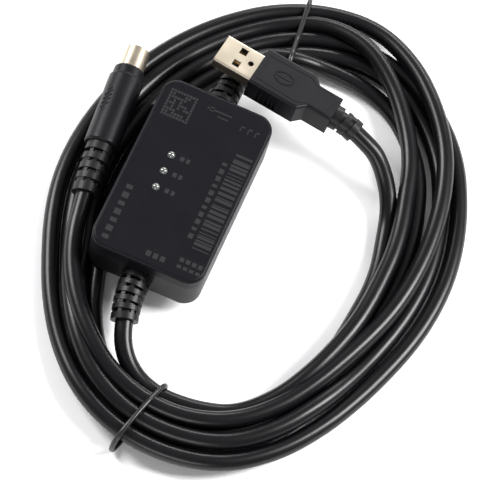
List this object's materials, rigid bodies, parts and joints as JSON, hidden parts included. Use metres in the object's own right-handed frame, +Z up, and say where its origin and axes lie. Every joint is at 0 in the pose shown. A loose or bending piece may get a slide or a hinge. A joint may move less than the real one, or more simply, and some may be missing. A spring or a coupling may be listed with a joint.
{
  "type": "programming adapter cable",
  "caption": "Serial interface adapter: a small module box between a USB plug and a round mini-DIN plug, its cables wound in one tied oval coil.",
  "frame": {"origin": "on the table plane, directly below the centre of the module box; the coil's flat underside lies in this plane", "axes": "+X to the module's right, +Y along the module's long axis towards the end with the mini-DIN cable, +Z up from the table"},
  "size_m": [0.1376, 0.1902, 0.0266],
  "materials": {
    "housing": "fine matt grain",
    "relief": "satin moulded PVC",
    "jacket": "satin PVC",
    "grip": "satin moulded PVC",
    "inner_mould": "natural",
    "plated_shell": "nickel plated",
    "insulator": "satin",
    "contact": "gold flashed",
    "board": "solder mask",
    "chip": "matt",
    "crystal_can": "satin",
    "capacitor_can": "satin",
    "ceramic": "matt",
    "led_lens": "clear",
    "wire": "satin",
    "tie": "satin"
  },
  "bodies": {
    "root": {"bulk_capacitor": "capacitor_can", "cable_coil": "jacket", "chip_capacitors": "ceramic", "chip_resistors": "chip", "circuit_board": "board", "coil_tie_far": "tie", "coil_tie_near": "tie", "crystal": "crystal_can", "din_barrel": "plated_shell", "din_cord_module_run": "jacket", "din_cord_plug_run": "jacket", "din_inner_mould": "inner_mould", "din_insulator": "insulator", "din_overmould": "grip", "din_pins": "contact", "din_side_relief": "relief", "din_side_wires": "wire", "din_strain_relief": "relief", "line_driver_chip": "chip", "lower_shell": "housing", "status_led_far": "led_lens", "status_led_middle": "led_lens", "status_led_near": "led_lens", "upper_shell": "housing", "usb_bridge_chip": "chip", "usb_contacts": "contact", "usb_cord_module_run": "jacket", "usb_cord_plug_run": "jacket", "usb_inner_mould": "inner_mould", "usb_overmould": "grip", "usb_shell": "plated_shell", "usb_side_relief": "relief", "usb_side_wires": "wire", "usb_strain_relief": "relief", "usb_tongue": "insulator"}
  },
  "joints": []
}
